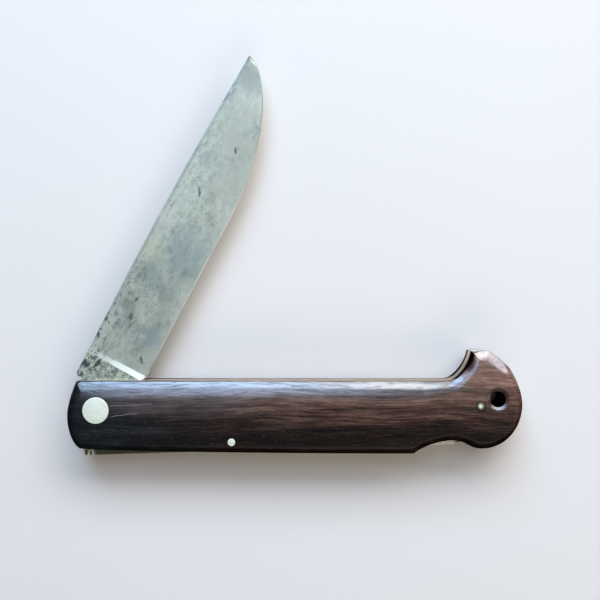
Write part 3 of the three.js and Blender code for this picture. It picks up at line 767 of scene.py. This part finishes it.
def blade_finish():
    """Grey-green carbon steel: lightened with painted light near the ricasso, the edge and the spine,
    stained, pitted, and rusty at the ricasso.
    """
    material, shader, place = new_material("blade_steel")
    local = place.placed(turn=BLADE_ANGLE)
    along, across = local.axis("X"), local.axis("Y")
    facing = place.node("ShaderNodeTexCoord", None, None, 1).placed(turn=BLADE_ANGLE)
    plunge = facing.axis("X").step(0.12, 0.34) * (1 - (along - 13).absolute().step(2, 3))
    clouds = local.placed(size=(8, 5, 5)).noise(1.0, 6.0, 0.7)
    mottle = local.placed(size=(1.9, 1.3, 2)).noise(1.0, 5.0, 0.7)
    fine = local.placed(size=(0.55, 0.4, 0.5)).noise(1.0, 4.0, 0.7)
    polish = local.placed(turn=math.radians(24), size=(3.5, 0.1, 1)).noise(1.0, 2.0, 0.6)
    wobble = local.placed(size=(3.5, 3.5, 3.5)).noise(1.0, 4.0, 0.65)

    # The steel's own greys, lightened with painted light near the ricasso, towards the edge and below the
    # spine
    body = (clouds * 0.4 + mottle * 0.35 + fine * 0.25).ramp(
        (0.39, tint("848f80")), (0.46, tint("b3bbaa")), (0.53, tint("c9cfbd")), (0.61, tint("dee1cc")))
    below_spine = (across + (mottle - 0.5) * 4).step(6.0, 9.5)
    painted_light = ((1 - along.step(14, 30)) * 0.35 + (0 - across).step(0.5, 6.0) * 0.4
               + below_spine * (0.5 - along.step(60, 72) * 0.3)).at_most(0.7)
    body = painted_light.mix(body, tint("dde0ce"))

    # Stains with ragged rims, the crust of the ricasso and streaks of the old polish
    ragged = local.node("ShaderNodeCombineXYZ", None,
                        {0: along + (wobble - 0.5) * 14, 1: across + (mottle - 0.5) * 10, 2: 0.0})
    for x, y, radius, edge, shade, amount in STAINS:
        body = (ragged.spot(x, y, radius, edge) * amount).mix(body, tint(shade))
    ricasso = 1 - (along + (wobble - 0.5) * 2).step(11.0, 12.6)
    crust = (mottle * 0.6 + fine * 0.4).ramp(
        (0.42, tint("78867a")), (0.5, tint("c6d0ba")), (0.58, tint("f4f8d8")))
    body = (ricasso * 0.85).mix(body, crust)
    body = ((fine.step(0.54, 0.66) + polish.step(0.6, 0.75)) * 0.2).mix(body, tint("7d8c84"))

    # A scratch, five dark marks with frayed rims, pits and rust
    frayed = local.node("ShaderNodeCombineXYZ", None,
                        {0: along + (fine - 0.5) * 1.6, 1: across + (mottle - 0.5) * 1.2, 2: 0.0})
    marks = scratch(local, 20.6, 4.6, 25.8, 2.8, 0.2) * 0.7
    for x, y, turn, long, wide in DARK_MARKS:
        blot = frayed.placed((x, y, 0), math.radians(turn), (long / 2, wide / 2, 1))
        marks = marks + blot.spot(0, 0, 0.55, 0.6) * 0.8
    crowd = local.placed(size=(9, 5, 5)).noise(1.0, 2.0).step(0.42, 0.62)
    pits = local.noise(1.5, 3.0, 0.6).step(0.61, 0.72) * (crowd * 0.8 + 0.2)
    pits = pits * (1 - along.step(28, 60) * 0.6)
    blotches = local.placed(size=(2.3, 1.4, 2)).noise(1.0, 6.0, 0.72)
    spine_pits = blotches.step(0.51, 0.61) * across.step(2.0, 8.0) * (1 - along.step(32, 46))
    rust = blotches.step(0.46, 0.58) * (across + (along - 8) * 0.4).step(4.0, 7.5)
    rust = rust * (1 - along.step(9.5, 15))
    near_bevel = 1 - (across - 9.7).absolute().step(0.3, 1.1)
    bevel_pits = blotches.step(0.5, 0.62) * near_bevel * (1 - along.step(80, 90))
    darkness = pits * 0.8 + bevel_pits * 0.35 + rust * 0.85 + marks + spine_pits * 0.65
    darkness = darkness.at_most(1.0) * (1 - plunge)
    body = darkness.mix(body, tint("414b45"))

    # The plunge catches the light
    body = (plunge * 0.42).mix(body, tint("fffaf0"))
    relief = polish * 0.25 + fine * 0.25 + mottle * 0.2 - darkness * 0.7
    feed(shader, Base_Color=body, Metallic=0.55 - darkness * 0.3 - plunge * 0.35,
         Roughness=0.3 + mottle * 0.16 + darkness * 0.15 + plunge * 0.3,
         Normal=relief.bump(0.15, 0.05 * MM))
    return material


def whetted_finish():
    """The bright strip along the edge, with the strokes of the stone."""
    material, shader, place = new_material("whetted_edge")
    local = place.placed(turn=BLADE_ANGLE)
    strokes = local.placed(turn=math.radians(62), size=(1.2, 0.06, 1)).noise(1.0, 2.0)
    worn = local.placed(size=(4, 2, 2)).noise(1.0, 3.0).step(0.5, 0.7)
    colour = strokes.ramp((0.3, tint("b5baae")), (0.7, tint("dde1d6")))
    colour = (worn * 0.25).mix(colour, tint("a9b0a6"))
    feed(shader, Base_Color=colour, Metallic=0.7 - worn * 0.2, Roughness=0.36 + worn * 0.1,
         Normal=strokes.bump(0.1, 0.01 * MM))
    return material


blade_steel = blade_finish()
blade = piece_from(tang(), "blade_forged", blade_steel)
drilled(blade, [ground_blade()], "UNION")
blade.data.materials.clear()
blade.data.materials.append(blade_steel)
blade.data.materials.append(whetted_finish())
for face in blade.data.polygons:
    corners = [blade.data.vertices[index].co for index in face.vertices]
    near_edge = all(co.y < edge_at(co.x) + EDGE_BEVEL + 0.03 and co.x > PLUNGE_START + 0.5
                    for co in corners)
    face.material_index = 1 if near_edge and abs(face.normal.z) > 0.3 else 0
drilled(blade, [rod(0, 0, PIVOT_HOLE, -4, 4)])
finished(blade, 12, BLADE_ANGLE, sum(levels("blade")) / 2)
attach(blade, "blade")
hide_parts("blade")

# Lock bar
# A steel bar that rocks on its pin in the back of the handle: a tooth that falls into the tang's
# notch in front, and a thumb end in the notch behind. Its corners are broken with a file.

BAR_CORNER = 0.14
# Painted glints, drawn as bright file strokes, on the lock bar's front end, and a painted highlight on
# its thumb end
bar_steel = metal_finish("bar_steel", "6d7263", "3f4337", 0.28, (0.5, 2.5, 0.5), 0.7, 0.6,
                         lightened=((-3.0, -11.9, 1.2, 1.1, "f4f6e4", 1.0),
                                 (91.4, -9.0, 3.2, 2.0, "fffdee", 0.0)))


def worn_copy(node, name, material, rounding):
    """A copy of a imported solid, merged, with its sharp edges broken."""
    mesh = bmesh.new()
    mesh.from_mesh(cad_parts[node].data)
    bmesh.ops.translate(mesh, verts=mesh.verts, vec=(-PIVOT.x, -PIVOT.y, 0))
    bmesh.ops.scale(mesh, verts=mesh.verts, vec=(1 / MM, 1 / MM, 1 / MM))
    bmesh.ops.remove_doubles(mesh, verts=mesh.verts, dist=1e-3)
    bmesh.ops.dissolve_limit(mesh, angle_limit=math.radians(1), verts=mesh.verts, edges=mesh.edges)
    sharp = [e for e in mesh.edges if len(e.link_faces) == 2 and e.calc_face_angle() > math.radians(35)]
    bmesh.ops.bevel(mesh, geom=sharp, affect="EDGES", offset=rounding, segments=2, profile=0.5,
                    material=-1, clamp_overlap=False)
    return finished(piece_from(mesh, name, material), 15)


bar = worn_copy("lock_bar", "lock_bar_filed", bar_steel, BAR_CORNER)
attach(bar, "lock_bar")
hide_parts("lock_bar")

# Pins
# The pivot pin is plain steel and hidden in the handle. The lock bar pin and the butt pin go right
# through, and their ends are peened over and filed down to the wood.

PIN_RADIUS = 1.0
PIN_PROUD = 0.06
PEEN_ROUND = 0.16
pin_steel = metal_finish("pin_steel", "9fa09c", "6d6e6a", 0.3, (0.2, 0.2, 3), 0.2)
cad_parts["pivot_pin"].data.materials[0] = pin_steel
nickel_silver = metal_finish("nickel_silver", "fafbe8", "e6ead0", 0.36, (1.6, 0.1, 1), 0.1, 0.35)
# The butt pin's pale centre is a painted highlight on its domed end
brass_pin = metal_finish("brass_pin", "8c8a66", "67654a", 0.3, (0.8, 0.3, 1), 0.3, 0.7,
                         lightened=((BUTT_PIN[0] - 0.1, BUTT_PIN[1] + 0.05, 0.25, 0.5, "fbfbe0", 0.2),))


def peened_pin(name, place, radius, material):
    """A turned pin whose ends are domed just above the crowned wood."""
    sink = max(crown_drop(place[1]) - PIN_PROUD, 0.02)
    mesh = rod(*place, radius, REAR_FACE + sink, FRONT_FACE - sink)
    rims = [e for e in mesh.edges if abs(e.verts[0].co.z - e.verts[1].co.z) < 1e-6]
    bmesh.ops.bevel(mesh, geom=rims, affect="EDGES", offset=PEEN_ROUND, segments=4, profile=0.5,
                    material=-1, clamp_overlap=True)
    return finished(piece_from(mesh, name, material), 40)


for node, place, finish, slot in (("lock_bar_pin", LOCK_PIN, nickel_silver, "nickel_silver"),
                                  ("butt_pin", BUTT_PIN, brass_pin, "brass_pin")):
    pin = peened_pin(node + "_peened", place, PIN_RADIUS, finish)
    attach(pin, "handle")
    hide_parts(node)

# Pivot rosettes
# Two nickel silver discs let into the scales, which the pivot pin's ends are fixed in. They were
# filed flush with the wood and have worn to a soft pale sheen.

ROSETTE_RADIUS = 3.5
ROSETTE_SINK = 0.04
ROSETTE_ROUND = 0.2
SOCKET_DEPTH = 0.8


def rosette_disc(node, outer, side):
    """A shallow disc with a softened rim and a blind socket for the pivot pin."""
    inner = outer - side * ROSETTE_THICKNESS
    top = outer - side * ROSETTE_SINK
    mesh = rod(0, 0, ROSETTE_RADIUS, *sorted((inner, top)), 96)
    rim = [e for e in mesh.edges if all(abs(v.co.z - top) < 1e-6 for v in e.verts)]
    bmesh.ops.bevel(mesh, geom=rim, affect="EDGES", offset=ROSETTE_ROUND, segments=4, profile=0.5,
                    material=-1, clamp_overlap=True)
    disc = piece_from(mesh, node + "_disc", nickel_silver)
    socket = sorted((inner - side, inner + side * SOCKET_DEPTH))
    return finished(drilled(disc, [rod(0, 0, PIVOT_HOLE, *socket)]), 40)


for node, outer, side in (("rear_pivot_rosette", REAR_FACE, -1), ("front_pivot_rosette", FRONT_FACE, 1)):
    disc = rosette_disc(node, outer, side)
    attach(disc, "handle")
    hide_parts(node)

# Floor, light and camera
# A plain pale floor, drawn in metres, four soft windows beyond the slot side, weaker lights from
# above and from the near side, and the camera straight above, as near as the photograph was taken.

FLOOR_HALF = 3
floor_mesh = bmesh.new()
bmesh.ops.create_grid(floor_mesh, x_segments=1, y_segments=1, size=FLOOR_HALF)
floor_material, floor_shader, floor_place = new_material("floor")
cast = floor_place.noise(0.01, 2.0).ramp((0.3, (0.83, 0.77, 0.71)), (0.7, (0.85, 0.79, 0.73)))
feed(floor_shader, Base_Color=cast, Roughness=0.9)
floor = piece_from(floor_mesh, "floor", floor_material)


def soft_light(name, place, size, radiance, colour):
    """A rectangular soft light that faces the handle, bright by its radiance."""
    light = bpy.data.lights.new(name, "AREA")
    light.shape = "RECTANGLE"
    light.size, light.size_y = size
    light.energy = radiance * math.pi * size[0] * size[1]
    light.color = colour
    obj = bpy.data.objects.new(name, light)
    obj.location = place
    obj.rotation_euler = (-Vector(place)).to_track_quat("-Z", "Y").to_euler()
    obj.visible_camera = False
    bpy.context.scene.collection.objects.link(obj)


soft_light("sky_window", (-0.19, 0.64, 0.54), (0.38, 0.42), 9.0, (0.48, 0.70, 1.0))
soft_light("white_window", (0.23, 0.64, 0.54), (0.46, 0.42), 7.5, (0.88, 0.94, 1.0))
soft_light("side_window", (0.62, 0.52, 0.52), (0.36, 0.40), 5.4, (0.82, 0.88, 1.0))
soft_light("high_window", (-0.15, 0.38, 0.80), (0.42, 0.30), 3.7, (0.55, 0.70, 1.0))
soft_light("overhead", (0.05, 0.22, 0.92), (0.6, 0.4), 0.36, (1.0, 0.95, 0.88))
soft_light("fill", (0.80, -0.30, 0.62), (0.55, 0.45), 1.4, (1.0, 0.95, 0.88))
soft_light("bounce", (0.15, -0.75, 0.50), (0.6, 0.35), 2.4, (1.0, 0.94, 0.86))

world = bpy.data.worlds.new("studio")
bpy.context.scene.world = world
world.use_nodes = True
world.node_tree.nodes["Background"].inputs["Color"].default_value = (1.0, 0.97, 0.92, 1)
world.node_tree.nodes["Background"].inputs["Strength"].default_value = 0.1

FOCAL_PIXELS = 862.6
FRAME_PIXELS = 600
SENSOR = 36.0
CAMERA_ALONG = 53.89
CAMERA_ACROSS = 29.16
CAMERA_HEIGHT = 240
camera = bpy.data.cameras.new("camera")
camera.sensor_width = SENSOR
camera.lens = FOCAL_PIXELS * SENSOR / FRAME_PIXELS
camera.clip_start = 0.01
camera_object = bpy.data.objects.new("camera", camera)
camera_object.location = (PIVOT.x + CAMERA_ALONG * MM, PIVOT.y + CAMERA_ACROSS * MM, CAMERA_HEIGHT * MM)
bpy.context.scene.collection.objects.link(camera_object)
bpy.context.scene.camera = camera_object
bpy.context.scene.view_settings.view_transform = "Standard"
